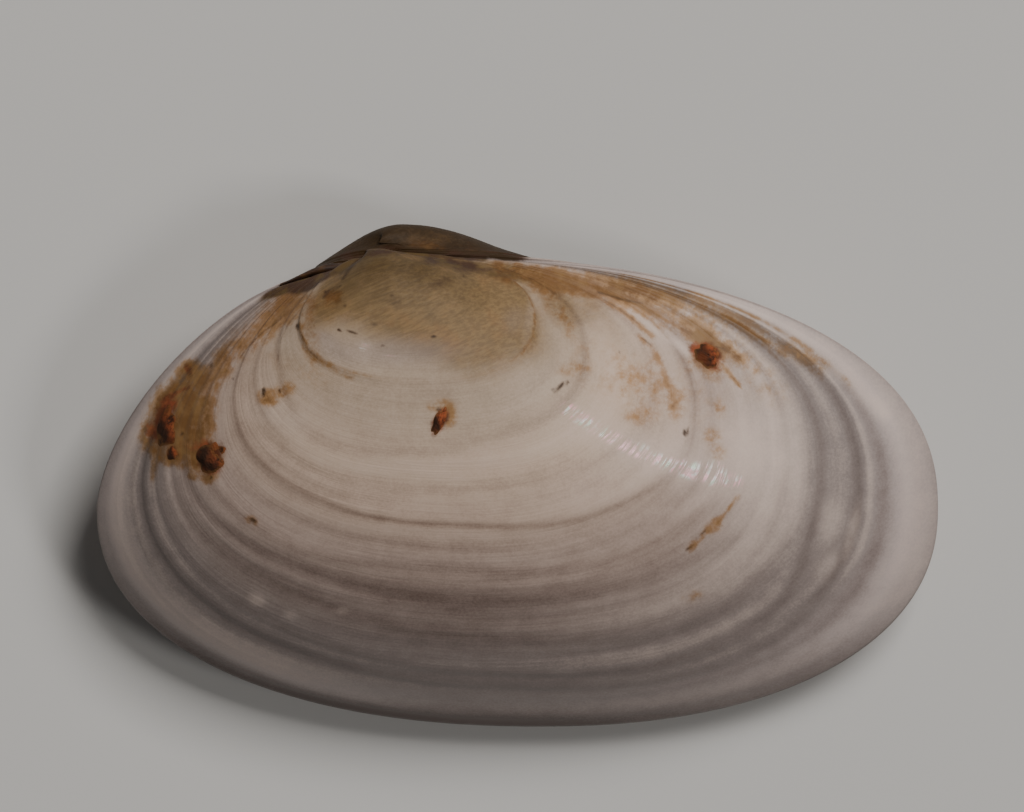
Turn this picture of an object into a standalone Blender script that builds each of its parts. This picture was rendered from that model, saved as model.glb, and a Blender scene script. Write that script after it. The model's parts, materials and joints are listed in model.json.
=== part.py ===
"""Closed two-valved shell of a small oval clam, lying on its lower valve.

Every growth stage of a valve has the outline of the finished margin, drawn smaller
towards the beak and turned about the hinge line. Stage 0 is the beak and stage 1 is
the margin. The two valves mirror each other across the plane where they meet, but the
lower one swells less and leans a little to the long end. A brown ligament lies in the
notch beside the beaks.

Shell axes, before the shell is laid down: X along the hinge towards the long end, Y
from the margin up to the beaks, Z out of the upper valve, origin at the beaks.
"""

import math

import bmesh
import bpy
import numpy as np
from mathutils import Matrix, Vector

# Margin of the closed shell, in metres, measured from the beaks
LENGTH = 0.0080
LONG_ARM = 0.665 * LENGTH
SHORT_ARM = LENGTH - LONG_ARM
BELLY_X = 0.192 * LENGTH
END_DROP = 0.337 * LENGTH
BELLY_DROP = 0.285 * LENGTH

# Roundness of the four quarters: 2 is an ellipse, more is squarer
LONG_SHOULDER = 2.3
LONG_BELLY = 2.22
SHORT_BELLY = 2.2
SHORT_SHOULDER = 1.63

# Dips of the upper margin on both sides of the beaks: (place, half width, depth)
NOTCH = (-0.0237 * LENGTH, 0.071 * LENGTH, 0.0287 * LENGTH)
LUNULE = (0.1436 * LENGTH, 0.117 * LENGTH, 0.0063 * LENGTH)

# Turning of the growth stages about the hinge, which sets how far the valves swell
TURN_RATE = 0.70
TURN_START = 0.012
RIM_TURN = 0.06
RIM_POWER = 8

# Beaks: they stand off the meeting plane, rise over the hinge line and lean to the
# short end, and the umbo behind them is set a little to the long end
BEAK_STAND = 0.0142 * LENGTH
BEAK_RISE = 0.0060 * LENGTH
BEAK_LEAN = 0.0166 * LENGTH
UMBO_SET = 0.47 * LENGTH

# Lower valve: its swell next to the upper valve's, and its lean to the long end
LOWER_SWELL = 0.816
LOWER_LEAN = 0.0173 * LENGTH

# Ledges where growth paused: (stage, height, share of growth that leads up to it)
YOUNG_SHELL = (0.273, 0.000030, 0.12)
LEDGES = (
    YOUNG_SHELL,
    (0.545, 0.000016, 0.08),
    (0.620, 0.000009, 0.06),
    (0.790, 0.000015, 0.08),
    (0.885, 0.000013, 0.07),
)
LEDGE_DROP = 0.014

# Walls and the seam between the valves
SEAM = 0.00004
CAVITY_CENTRE = (BELLY_X, -0.30 * LENGTH)
CAVITY_SPREAD = 0.94
CAVITY_RISE = 0.82
CAVITY_START = 0.11

# Ligament, along the notch of the short end
LIGAMENT_FROM = -0.116 * LENGTH
LIGAMENT_TO = -0.033 * LENGTH
LIGAMENT_TALL = 0.00011
LIGAMENT_THICK = 0.00006
LIGAMENT_LIFT = 0.00010

# How the shell lies: the belly and one end dip until it is steady, on a small flat
REST_PITCH = math.radians(12.0)
REST_ROLL = math.radians(0.5)
REST_FLAT = 0.000030
SNAP = 0.000004

# Facets
COLUMNS = 60
FINE_NEAR_BEAK = 1.4
ROWS = (0.03, 0.05, 0.075, 0.105, 0.14, 0.18, 0.22, 0.255, 0.34, 0.39, 0.44, 0.49,
        0.525, 0.595, 0.66, 0.71, 0.755, 0.84, 0.935, 0.965, 0.988, 1.0)
CAVITY_ROWS = (1.0, 0.84, 0.64, 0.44, 0.28, 0.18, CAVITY_START)


def quarter(reach, drop, power, angles):
    """A quarter of a superellipse: sideways reach and height above its centre."""
    return reach * np.cos(angles) ** (2 / power), drop * np.sin(angles) ** (2 / power)


def dip(x):
    """Depth at x of the notch and the lunule, each a bell shape."""
    depth = 0.0
    for place, half_width, deep in (NOTCH, LUNULE):
        depth = depth + deep * np.exp(-(((x - place) / half_width) ** 2))
    return depth


def full_margin(per_quarter=600):
    """Closed margin as x and y: four quarters, with the dips cut into the upper two."""
    up = (np.arange(per_quarter) + 0.5) / per_quarter * math.pi / 2
    down = up[::-1]
    long_top = quarter(LONG_ARM, END_DROP, LONG_SHOULDER, down)
    long_low = quarter(LONG_ARM - BELLY_X, BELLY_DROP, LONG_BELLY, up)
    short_low = quarter(SHORT_ARM + BELLY_X, BELLY_DROP, SHORT_BELLY, down)
    short_top = quarter(SHORT_ARM, END_DROP, SHORT_SHOULDER, up)
    x = np.concatenate([long_top[0], BELLY_X + long_low[0], BELLY_X - short_low[0], -short_top[0]])
    y = np.concatenate([long_top[1], -long_low[1], -short_low[1], short_top[1]]) - END_DROP
    return x, np.where(y > -END_DROP, y - dip(x), y)


def margin(count):
    """The margin with points evenly spaced, and closer together near the beaks."""
    x, y = full_margin()
    step = np.hypot(np.diff(x, append=x[0]), np.diff(y, append=y[0]))
    near = np.exp(-(x * x + y * y) / (0.12 * LENGTH) ** 2)
    walked = np.concatenate([[0.0], np.cumsum(step * (1 + FINE_NEAR_BEAK * near))])
    stops = np.arange(count) / count * walked[-1]
    return np.interp(stops, walked, np.append(x, x[0])), np.interp(stops, walked, np.append(y, y[0]))


def margin_height(x):
    """Height of the short end's upper margin at x."""
    reach = 1 - np.clip(-x / SHORT_ARM, 0, 1) ** SHORT_SHOULDER
    return END_DROP * (reach ** (1 / SHORT_SHOULDER) - 1) - dip(x)


def stage_surface(stages, x, y):
    """Rings of points: the margin shrunk to each stage and turned about the hinge."""
    g = np.asarray(stages)[:, None]
    turn = TURN_RATE * np.log((1 + TURN_START) / (g + TURN_START)) + RIM_TURN * (1 - g ** RIM_POWER)
    return np.stack([
        g * x - BEAK_LEAN * (1 - g) ** 8 + UMBO_SET * g * (1 - g) ** 12,
        g * y * np.cos(turn) + BEAK_RISE * (1 - g) ** 5,
        SEAM / 2 - g * y * np.sin(turn) + BEAK_STAND * (1 - g) ** 3,
    ], axis=-1)


def smooth(t):
    t = np.clip(t, 0, 1)
    return t * t * (3 - 2 * t)


def relief(stages):
    """Height of the ledges: each swells up to its line and steps down past it."""
    g = np.asarray(stages)
    height = np.zeros_like(g)
    for line, tall, lead in LEDGES:
        height += tall * smooth((g - line + lead) / lead) * (1 - smooth((g - line) / LEDGE_DROP))
    return height * smooth((1 - g) / 0.03)


def outer_rings(stages, x, y):
    """The outer surface with its ledges raised along the surface's own normals."""
    points = stage_surface(stages, x, y)
    h = 1e-4
    along = np.roll(points, -1, axis=1) - np.roll(points, 1, axis=1)
    across = stage_surface(np.asarray(stages) + h, x, y) - stage_surface(np.asarray(stages) - h, x, y)
    normal = np.cross(along, across)
    normal /= np.linalg.norm(normal, axis=-1, keepdims=True)
    return points + normal * relief(stages)[:, None, None]


def cavity_rings(stages, x, y):
    """The lining: the outer surface drawn in towards a point on the meeting plane."""
    points = stage_surface(stages, x, y)
    centre = np.array([*CAVITY_CENTRE, SEAM / 2])
    return centre + (points - centre) * (CAVITY_SPREAD, CAVITY_SPREAD, CAVITY_RISE)


def on_side(points, stages, side):
    """The upper valve's rings as they are, or turned into the lower valve's."""
    if side > 0:
        return points
    lean = LOWER_LEAN * (1 - np.asarray(stages)[:, None] ** 2)
    return np.stack([points[..., 0] + lean, points[..., 1], -LOWER_SWELL * points[..., 2]], axis=-1)


def all_stages():
    """Rows of the facets, with a close pair at each ledge."""
    ledge_rows = [row for line, _, _ in LEDGES for row in (line - 0.001, line + LEDGE_DROP)]
    return sorted([*ROWS, *ledge_rows])


def add_rings(mesh, rings):
    """Bridges a stack of closed rings with quads and returns the first and last ring."""
    loops = [[mesh.verts.new(point) for point in ring] for ring in rings]
    for low, high in zip(loops, loops[1:]):
        for i in range(len(low)):
            j = (i + 1) % len(low)
            mesh.faces.new((low[i], low[j], high[j], high[i]))
    return loops[0], loops[-1]


def close_ring(mesh, ring, tip):
    """A fan from a ring to its tip."""
    point = mesh.verts.new(tip)
    for i in range(len(ring)):
        mesh.faces.new((ring[i], ring[(i + 1) % len(ring)], point))


def laid_down():
    """Turns shell axes into the axes of the shell at rest."""
    return Matrix.Rotation(REST_PITCH, 4, "X") @ Matrix.Rotation(REST_ROLL, 4, "Y")


def material(name, colour, roughness):
    made = bpy.data.materials.new(name)
    made.use_nodes = True
    surface = made.node_tree.nodes["Principled BSDF"]
    surface.inputs["Base Color"].default_value = (*colour, 1.0)
    surface.inputs["Roughness"].default_value = roughness
    surface.inputs["Metallic"].default_value = 0.0
    return made


def named_object(name, mesh, look):
    """Turns a bmesh into a named object with outward faces and its own material."""
    bmesh.ops.recalc_face_normals(mesh, faces=mesh.faces[:])
    data = bpy.data.meshes.new(name)
    mesh.to_mesh(data)
    mesh.free()
    data.materials.append(look)
    data.shade_smooth()
    made = bpy.data.objects.new(name, data)
    bpy.context.scene.collection.objects.link(made)
    return made


def valve_mesh(side):
    """One valve: outer surface, flat rim on the meeting plane and lining, side 1 or -1."""
    x, y = margin(COLUMNS)
    outer = on_side(outer_rings(all_stages(), x, y), all_stages(), side)
    lining = on_side(cavity_rings(CAVITY_ROWS, x, y), CAVITY_ROWS, side)
    mesh = bmesh.new()
    beak_ring, cavity_ring = add_rings(mesh, np.concatenate([outer, lining]))
    close_ring(mesh, beak_ring, outer[0].mean(axis=0))
    close_ring(mesh, cavity_ring, lining[-1].mean(axis=0))
    mesh.transform(laid_down())
    return mesh


def cut_flat(mesh, level):
    """Cuts off what is under the level and closes the cut with one flat face."""
    geometry = mesh.verts[:] + mesh.edges[:] + mesh.faces[:]
    cut = bmesh.ops.bisect_plane(
        mesh, geom=geometry, dist=SNAP, plane_co=(0, 0, level), plane_no=(0, 0, 1), clear_inner=True)
    edges = [item for item in cut["geom_cut"] if isinstance(item, bmesh.types.BMEdge)]
    bmesh.ops.contextual_create(mesh, geom=edges)


def ligament_mesh(look_count=12, stations=13):
    """A tapering band in the notch: its sections widen upwards, like the groove."""
    share = np.linspace(0, 1, stations)
    x = LIGAMENT_FROM + (LIGAMENT_TO - LIGAMENT_FROM) * share
    size = 0.22 + 0.78 * smooth(share * 1.1)
    round_off = np.sqrt(np.clip(1 - np.clip((share - 0.8) / 0.22, 0, 1) ** 2, 0, 1))
    size = size * round_off
    angles = np.arange(look_count) / look_count * 2 * math.pi
    centre_y = margin_height(x) + LIGAMENT_LIFT * (0.35 + 0.65 * share)
    rise = LIGAMENT_TALL / 2 * size[:, None] * np.sin(angles)
    width = LIGAMENT_THICK * size[:, None] * np.cos(angles) * (0.62 + 0.38 * np.sin(angles))
    rings = np.stack([np.broadcast_to(x[:, None], rise.shape), centre_y[:, None] + rise, width], axis=-1)
    mesh = bmesh.new()
    first, last = add_rings(mesh, rings)
    close_ring(mesh, first, rings[0].mean(axis=0))
    close_ring(mesh, last, rings[-1].mean(axis=0))
    mesh.transform(laid_down())
    return mesh


def box_of(meshes):
    points = np.array([vert.co[:] for mesh in meshes for vert in mesh.verts])
    return points.min(axis=0), points.max(axis=0)


def main():
    for obj in list(bpy.data.objects):
        bpy.data.objects.remove(obj)
    upper = valve_mesh(1)
    lower = valve_mesh(-1)
    ligament = ligament_mesh()
    flat_level = box_of([lower])[0][2] + REST_FLAT
    cut_flat(lower, flat_level)
    low, high = box_of([upper, lower, ligament])
    to_origin = Matrix.Translation(Vector((-(low[0] + high[0]) / 2, -(low[1] + high[1]) / 2, -flat_level)))
    for mesh in (upper, lower, ligament):
        mesh.transform(to_origin)
    named_object("upper_valve", upper, material("upper_valve_shell", (0.55, 0.49, 0.46), 0.42))
    named_object("lower_valve", lower, material("lower_valve_shell", (0.52, 0.46, 0.43), 0.45))
    named_object("ligament", ligament, material("ligament_brown", (0.16, 0.07, 0.035), 0.6))


main()
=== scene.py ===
"""Closed clam shell: the finished surfaces of both valves, ligament and rust, with its stage.

Shell axes: X along the hinge to the long end, Y up to the beaks, Z out of the upper
valve, origin at the beaks. A place on a valve is (stage, around): stage runs from 0 at
the beak to 1 at the margin, and around runs once round the margin, from the beaks by
way of the long end, the belly and the short end.
"""

import json
import math

import bpy
import numpy as np
from mathutils import Matrix, Vector

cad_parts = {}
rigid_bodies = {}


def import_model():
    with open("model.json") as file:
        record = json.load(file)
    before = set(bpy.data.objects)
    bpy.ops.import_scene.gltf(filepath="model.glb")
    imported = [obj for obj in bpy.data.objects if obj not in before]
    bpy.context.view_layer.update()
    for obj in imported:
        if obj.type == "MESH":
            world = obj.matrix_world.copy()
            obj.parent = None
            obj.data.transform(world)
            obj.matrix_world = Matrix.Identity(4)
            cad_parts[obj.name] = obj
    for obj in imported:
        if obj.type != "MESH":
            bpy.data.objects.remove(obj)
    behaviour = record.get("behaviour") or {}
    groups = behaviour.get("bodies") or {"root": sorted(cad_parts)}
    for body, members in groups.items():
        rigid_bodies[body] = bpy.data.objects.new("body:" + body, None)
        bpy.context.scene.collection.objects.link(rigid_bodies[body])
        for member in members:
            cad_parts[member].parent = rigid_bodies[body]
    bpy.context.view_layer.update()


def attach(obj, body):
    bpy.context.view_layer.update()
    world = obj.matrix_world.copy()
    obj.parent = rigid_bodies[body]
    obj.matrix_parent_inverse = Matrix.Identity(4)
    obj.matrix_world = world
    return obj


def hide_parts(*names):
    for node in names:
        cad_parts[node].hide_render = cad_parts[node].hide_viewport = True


bl_info = {
    "name": "Closed clam shell",
    "version": (1, 0, 0),
    "blender": (4, 5, 0),
    "location": "3D View > Sidebar > Clam",
    "description": "Builds the finished valves, ligament, rust crusts and stage of a closed clam shell",
    "category": "Object",
}

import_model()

# Driving sizes of the shell, in metres
LENGTH = 0.008
LONG_ARM = 0.665 * LENGTH
SHORT_ARM = LENGTH - LONG_ARM
BELLY_X = 0.192 * LENGTH
END_DROP = 0.337 * LENGTH
BELLY_DROP = 0.285 * LENGTH
LONG_SHOULDER = 2.3
LONG_BELLY = 2.22
SHORT_BELLY = 2.2
SHORT_SHOULDER = 1.63
NOTCH = (-0.0237 * LENGTH, 0.071 * LENGTH, 0.0287 * LENGTH)
LUNULE = (0.1436 * LENGTH, 0.117 * LENGTH, 0.0063 * LENGTH)
TURN_RATE = 0.7
TURN_START = 0.012
RIM_TURN = 0.06
RIM_POWER = 8
BEAK_STAND = 0.0142 * LENGTH
BEAK_RISE = 0.006 * LENGTH
BEAK_LEAN = 0.0166 * LENGTH
UMBO_SET = 0.47 * LENGTH
LOWER_SWELL = 0.816
LOWER_LEAN = 0.0173 * LENGTH
SEAM = 0.00004
CAVITY_CENTRE = (BELLY_X, -0.3 * LENGTH)
CAVITY_SPREAD = 0.94
CAVITY_RISE = 0.82

# How the shell lies, and where that puts the origin of its own axes
REST_PITCH = math.radians(12)
REST_ROLL = math.radians(0.5)
BEAK_AT = (-0.0013241, 0.0023347, 0.001533)

# The photograph: its size, the beaks' pixel, its scale and how far it looks down on the hinge
PICTURE = (1024, 812)
BEAK_PIXEL = (378, 252)
PIXEL = LENGTH / 845
VIEW_TILT = math.radians(25)

# Colour of the studio lights
WARM_WHITE = (1, 0.975, 0.95)

# Directions round the margin, in degrees from the hinge line, at which bands are told
RAYS = (31, 49, 78, 109, 133)

# Growth bands, and rows of painted shade and light, each with its stage in thousandths at the
# long end, long belly, belly, short belly and short end, its depth of shade there in hundredths,
# its half width in thousandths of a stage and its ledge in thousandths of a millimetre
BANDS = (
    ((370, 370, 390, 400, 355), (16, 8, 6, 7, 14), 10, 4),
    ((490, 455, 460, 455, 440), (7, 4, 3, 6, 10), 11, 2),
    ((560, 540, 524, 508, 512), (12, 20, 26, 18, 11), 6, 12),
    ((600, 590, 565, 560, 600), (4, 3, 5, 5, 5), 8, 3),
    ((625, 622, 602, 632, 630), (3, 8, 9, 8, 8), 10, 6),
    ((710, 670, 662, 660, 680), (5, 10, 7, 6, 8), 12, 4),
    # Painted shade: a broad darkening over the lower belly, where the light falls off
    ((690, 670, 680, 690, 700), (0, 12, 20, 9, 0), 85, 0),
    ((480, 480, 480, 490, 490), (0, 0, 0, 3, 8), 50, 0),
    ((745, 770, 740, 722, 720), (5, 10, 7, 14, 5), 16, 4),
    ((790, 842, 822, 800, 780), (20, 6, 8, 9, 8), 12, 10),
    ((857, 880, 862, 835, 832), (14, 9, 5, 10, 12), 14, 10),
    ((905, 905, 895, 900, 900), (18, 6, 3, 0, 3), 14, 5),
    ((590, 605, 625, 620, 615), (7, 3, 2, 3, 3), 5, 2),
    ((662, 645, 640, 645, 655), (8, 4, 3, 3, 3), 5, 3),
    ((690, 700, 700, 700, 700), (7, 4, 3, 3, 3), 5, 2),
    ((728, 745, 760, 760, 750), (9, 4, 3, 3, 3), 6, 3),
    # Painted shade: darker along the margin of the belly, which faces away from the light
    ((1000, 1000, 1000, 1000, 1000), (0, 20, 48, 40, 2), 70, 0),
    ((420, 410, 420, 430, 425), (-5, -8, -5, -6, 2), 20, 0),
    ((640, 570, 590, 600, 560), (-9, -6, -3, -4, -2), 13, 0),
    # Painted light: lighter over the long end, which faces the light
    ((705, 710, 640, 690, 650), (-26, -13, -2, 0, -2), 60, 0),
    ((755, 735, 722, 760, 750), (-10, -7, 0, -4, -3), 16, 0),
    ((822, 810, 782, 805, 797), (-5, -5, -3, 0, -6), 10, 0),
    ((879, 860, 880, 880, 870), (-18, -2, -2, -5, -7), 8, 0),
    ((975, 950, 930, 910, 925), (-12, -2, 0, -28, -22), 32, 0),
)
BAND_GROOVE = 0.00004
MICRON = 0.000001
LEDGE_LEAD = 0.06
LEDGE_DROP = 0.014

# Heights of the fine growth ripples, of more of them outside the young shell, and of soft swells
RIPPLE = 0.0000003
OUTER_RIPPLE = 0.0000006
SWELL = 0.000003

# Finer folds between the bands: their depth of shade and how strongly they show at each ray
FOLD_DEPTH = 0.042
FOLD_SHOWS = (1, 0.9, 0.55, 0.7, 0.9)

# The young shell's edge: its stage, height and how strongly it shows at each ray
YOUNG_STAGE = 0.273
YOUNG_LEDGE = 0.00003
YOUNG_SHOWS = (1, 0.45, 0.2, 0.75, 1)
YOUNG_LEAD = 0.12

# Ligament, along the notch of the short end
LIGAMENT_FROM = -0.116 * LENGTH
LIGAMENT_RUN = 0.083 * LENGTH
LIGAMENT_LIFT = 0.0001
LIGAMENT_TALL = 0.000055
LIGAMENT_THICK = 0.00006

# Grids
COLUMNS = 432
BEAK_ROWS = 26
ROWS = 180
FIRST_STAGE = 0.0015
BEAK_END = 0.06
FINE_NEAR_BEAK = 1.4
LINING_STAGES = (0.84, 0.64, 0.44, 0.28, 0.18, 0.11)
LIP_STEPS = 4
LIP = 0.000018

# Stage at which the tan of the umbo ends, and the ground colour along growth: each stop
# has its stage, the two colours it lies between and the share of the second
UMBO_ENDS = (0.302, 0.288, 0.235, 0.215, 0.262)
# On the lower valve the umbo is darkened as painted shade, out to these stages
FAR_UMBO_ENDS = (0.42, 0.31, 0.24, 0.22, 0.36)
GROUND = (
    (0, "warm", "blush", 0.1), (0.31, "warm", "blush", 0.2), (0.43, "cream", "white", 0.1),
    (0.5, "cream", "blush", 0.5), (0.6, "blush", "grey", 0.25), (0.7, "blush", "grey", 0.62),
    (0.8, "blush", "grey", 0.95), (0.865, "grey", "band", 0.08), (0.905, "grey", "edge", 0.55),
    (0.945, "edge", "white", 0.1), (0.975, "edge", "grey", 0.35), (1, "edge", "grey", 0.6),
)

# Marks on the upper valve, in pixels of the photograph: x, y, half length, half width,
# strength in hundredths, and degrees up from the right where the mark is turned
OCHRE_SPOTS = (
    (203, 412, 36, 13, 85, 88), (222, 368, 15, 9, 85, 80), (206, 380, 16, 12, 70),
    (188, 370, 13, 10, 75, 30), (182, 393, 24, 13, 90, 35), (188, 420, 22, 18, 95, 90),
    (160, 412, 26, 13, 95, 70), (152, 436, 17, 12, 80, 80), (178, 440, 24, 19, 95),
    (195, 456, 22, 13, 90, -10), (207, 460, 16, 15, 95, 80), (172, 456, 11, 9, 85), (160, 454, 9, 9, 55),
    (153, 472, 13, 4, 40, 85), (192, 476, 6, 5, 45), (208, 479, 8, 6, 55), (333, 298, 12, 10, 45, 30),
    (268, 397, 11, 9, 60), (287, 389, 9, 8, 55), (442, 406, 16, 8, 30), (450, 418, 7, 11, 45),
    (560, 316, 26, 10, 26, -56), (526, 284, 34, 9, 26, -18), (704, 338, 12, 7, 80, -20),
    (675, 402, 8, 15, 42), (640, 416, 17, 10, 26), (719, 409, 7, 8, 28), (712, 436, 9, 10, 36),
    (718, 453, 10, 7, 26), (575, 369, 16, 6, 26, 8), (714, 526, 9, 7, 55, 40), (693, 597, 11, 7, 28, 20),
    (650, 385, 50, 28, 14), (596, 360, 60, 38, 13, -20), (252, 521, 8, 5, 40, -30),
    (845, 380, 12, 4, 25, -40), (709, 358, 22, 17, 60, -30), (312, 330, 10, 34, 22),
    (262, 325, 48, 22, 22, 40), (300, 372, 40, 14, 16, -20), (690, 400, 44, 60, 10, 60),
    (290, 292, 24, 10, 35, 28), (578, 281, 60, 10, 84, -9), (650, 298, 60, 13, 26, -18),
    (700, 324, 50, 14, 26, -28), (765, 382, 34, 22, 17, -45), (735, 352, 30, 12, 20, -38),
)
RUST_SPOTS = (
    (167, 405, 16, 10, 85, 65), (163, 428, 20, 13, 100, 85), (211, 458, 18, 15, 100, 80),
    (172, 453, 7, 8, 85), (149, 432, 6, 10, 65), (188, 370, 8, 4.5, 75, -55), (182, 390, 10, 3, 65, 25),
    (708, 356, 18, 14, 100, -35), (696, 349, 8, 6, 85, -30), (440, 421, 16, 8, 100, 64),
    (190, 446, 12, 6, 45, -20), (200, 440, 11, 8, 35, -40),
)
DARK_SPOTS = (
    (264, 392, 2.6, 6, 80), (280, 391, 2, 3.4, 72), (284, 395, 1.8, 2, 56), (253, 520, 5, 3, 64, -30),
    (211, 365, 2.8, 3.8, 64), (190, 375, 3, 3, 56), (182, 434, 2.2, 3, 64), (144, 430, 3, 6, 48),
    (150, 457, 2.2, 4, 64), (211, 478, 2, 2.6, 64), (233, 379, 1.8, 1.8, 64), (383, 346, 2.8, 2.8, 56),
    (685, 433, 3.6, 4, 80), (689, 429, 2, 2, 72), (298, 327, 2.8, 4.4, 72), (326, 292, 3, 2.2, 64),
    (269, 311, 2, 2, 48), (281, 317, 2, 2, 48), (392, 295, 2.4, 2, 48), (374, 324, 5, 2.4, 56, -20),
    (464, 276, 4, 2.4, 48, -15), (345, 306, 2.4, 2, 48), (351, 311, 2, 1.8, 48), (288, 366, 1.8, 1.8, 56),
    (531, 391, 1.8, 1.8, 48), (620, 352, 1.8, 2.2, 64), (617, 358, 1.5, 1.8, 32), (622, 507, 3, 2, 40),
    (712, 366, 6, 3.5, 64, -30), (439, 410, 4, 4, 60), (163, 438, 6, 7, 48), (204, 461, 4, 8, 55),
    (240, 449, 2, 2, 24), (442, 283, 18, 8, 46, 20), (395, 301, 15, 7, 36, 25), (470, 300, 14, 6, 30, 30),
    (345, 303, 13, 6, 34, 30), (410, 266, 16, 5, 34, 5),
)
# White spots: chalky patches, and painted sheen and highlight round the glint streak, on the young shell and
# over the lit long end
WHITE_AND_SHEEN_SPOTS = (
    (655, 457, 80, 20, 40, -22), (760, 450, 30, 60, 30), (832, 520, 22, 11, 42, 80),
    (853, 532, 26, 5, 38, 75), (829, 566, 18, 9, 26, 60), (256, 600, 9, 6, 42, -25),
    (290, 615, 7, 5, 25, -15), (342, 611, 6, 4, 25), (168, 477, 7, 4, 15, 75), (700, 440, 44, 40, 30, 20),
    (612, 480, 70, 26, 22, 20), (530, 318, 26, 5, 14, 80), (366, 347, 8, 5, 16), (745, 452, 32, 36, 46),
    (790, 455, 14, 30, 25), (278, 415, 34, 14, 22, -20),
)
LILAC_SPOTS = (
    (400, 352, 62, 14, 70), (515, 320, 14, 12, 30, 60), (330, 347, 26, 11, 60, -30),
    (326, 337, 10, 5, 50, -20), (668, 308, 14, 5, 40, -25),
)
# Brown about the hinge: partly brown stain, partly painted shade in the crease between the valves and under
# the umbones
BROWN_AND_SHADE_SPOTS = (
    (318, 273, 32, 10, 100, 22), (346, 264, 13, 9, 100, 45), (284, 288, 26, 5, 90, 26),
    (364, 254, 10, 5, 80, 20), (336, 256, 26, 9, 100, 38), (470, 270, 62, 9, 42, -9),
    (440, 262, 40, 6, 45, -6), (305, 284, 16, 8, 100, 26), (503, 256, 26, 5, 80, -6),
)
# Painted shade along the crease between the valves at the hinge
HINGE_CREASE_SHADE = ((366, 254), (385, 250), (400, 250), (432, 254), (464, 256), (484, 257))

# Lines on the upper valve: points in pixels, half width and strength in hundredths
OCHRE_LINES = (
    (((303, 303), (286, 312), (270, 323), (252, 338), (238, 348), (225, 358)), 11, 42),
    (((298, 306), (281, 318), (262, 333), (246, 347)), 3, 55),
    (((300, 326), (303, 338), (308, 351), (318, 360), (334, 368), (352, 378)), 3.2, 32),
    (((540, 279), (580, 288), (605, 293), (640, 304), (662, 317), (682, 327), (702, 337), (716, 347)), 9, 48),
    (((600, 291), (640, 305), (662, 318), (682, 329), (700, 339)), 2.6, 80),
    (((585, 291), (603, 299), (622, 311), (640, 325), (652, 336)), 3, 50),
    (((640, 337), (651, 347), (660, 362), (666, 380), (672, 396)), 3, 36),
    (((560, 276), (600, 283), (640, 290), (662, 297), (690, 301), (712, 309), (728, 317)), 8, 45),
    (((610, 284), (640, 290), (664, 295)), 2.5, 75),
    (((728, 317), (742, 324), (754, 332), (768, 340), (792, 350), (820, 366)), 9, 42),
    (((728, 317), (742, 325), (754, 334), (766, 341)), 3, 80),
    (((718, 345), (730, 350), (738, 358)), 4, 70), (((722, 364), (730, 374), (740, 386)), 2, 60),
    (((690, 548), (700, 538), (710, 528)), 3.5, 65), (((716, 524), (728, 510), (739, 496)), 2.2, 45),
    (((500, 268), (540, 276), (580, 282)), 8, 48),
)
DARK_LINES = (
    (((338, 330), (345, 331), (353, 333), (362, 337)), 1.1, 90),
    (((431, 338), (437, 335.5), (444, 334), (452, 333)), 1.1, 80),
    (((240, 358), (248, 347), (262, 333), (280, 320)), 1.4, 45),
    (((300, 310), (288, 325), (281, 340), (278, 360)), 1.4, 40),
    (((299, 322), (303, 338), (310, 352), (322, 363), (338, 371), (352, 378)), 1.1, 40),
    (((324, 298), (330, 290), (341, 286)), 2.2, 50), (((598, 292), (620, 299), (642, 303)), 2, 50),
    (((603, 299), (622, 311), (640, 325)), 1.5, 40), (((642, 338), (652, 346)), 1.4, 50),
    (((686, 551), (696, 541), (706, 531)), 1.7, 60), (((553, 391), (560, 386), (567, 382)), 2.4, 85),
    (((716, 347), (726, 350), (736, 357)), 1.6, 45),
    # Painted shade under the edge of the upper umbo
    (((374, 251), (362, 256), (352, 266), (343, 279)), 2.5, 60),
)
WHITE_LINES = (
    (((606, 287), (640, 297), (664, 303)), 3, 50),
    (((622, 304), (642, 316), (664, 336), (690, 352)), 5, 60),
    (((700, 297), (750, 313), (800, 340), (850, 378), (885, 415)), 8, 45),
)
# Painted highlight: the streak of glint dashes where the light catches the fine growth striae, and its half
# width
HIGHLIGHT_STREAK = ((566, 408), (592, 425), (622, 443), (652, 458), (684, 470), (736, 481))
STREAK_WIDTH = 7.5
WRINKLE_TURN = math.radians(25)
# Painted highlight: single glints, and the brighter ends of the streak
GLINTS = (
    (712, 473, 15, 13, 100, -10), (688, 469, 15, 10, 95, -15), (640, 451, 24, 9, 80, -25),
    (365, 347, 6, 5, 70, -20), (392, 357, 14, 3, 35, -12), (800, 470, 6, 10, 40),
)

# Marks on the lower valve, where it shows behind the beaks
FAR_OCHRE = ((430, 247, 24, 6, 40, -6), (474, 247, 26, 6, 30, -15))
NEAR_UMBO = (
    (480, 268, 60, 9, 90, -4), (420, 262, 40, 9, 100, -6), (556, 306, 36, 18, 60, -56),
    (582, 299, 34, 20, 55, -25), (604, 326, 34, 18, 34, -40), (600, 366, 60, 30, 14),
    (525, 277, 44, 10, 80, -8), (290, 298, 36, 13, 55, 35),
)
# Painted shadow in the gap between the beaks, and a small dark spot on the lower umbo
FAR_DARK_AND_SHADOW = ((354, 253, 4, 5, 90, 30), (425, 240, 3, 2, 50))

# Rust crusts that stand up, on the shoulder, at the short end, on the long side and in the
# middle: centre and half sizes in pixels, degrees, height in thousandths of a millimetre,
# and how far the orange grains of painted light on the lit right side reach in from the right
CRUSTS = (
    (211, 458, 18, 15, 75, 22, 0.14), (166, 427, 21, 11, 86, 12, 0.28), (172, 454, 6, 7, 0, 12, 0.25),
    (708, 356, 15, 11, -35, 22, 0.24), (440, 421, 15, 6.5, 64, 20, 0.58),
)


def smooth(t):
    """Eases from 0 to 1 as t goes from 0 to 1, flat at both ends."""
    t = np.clip(t, 0, 1)
    return t * t * (3 - 2 * t)


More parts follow.
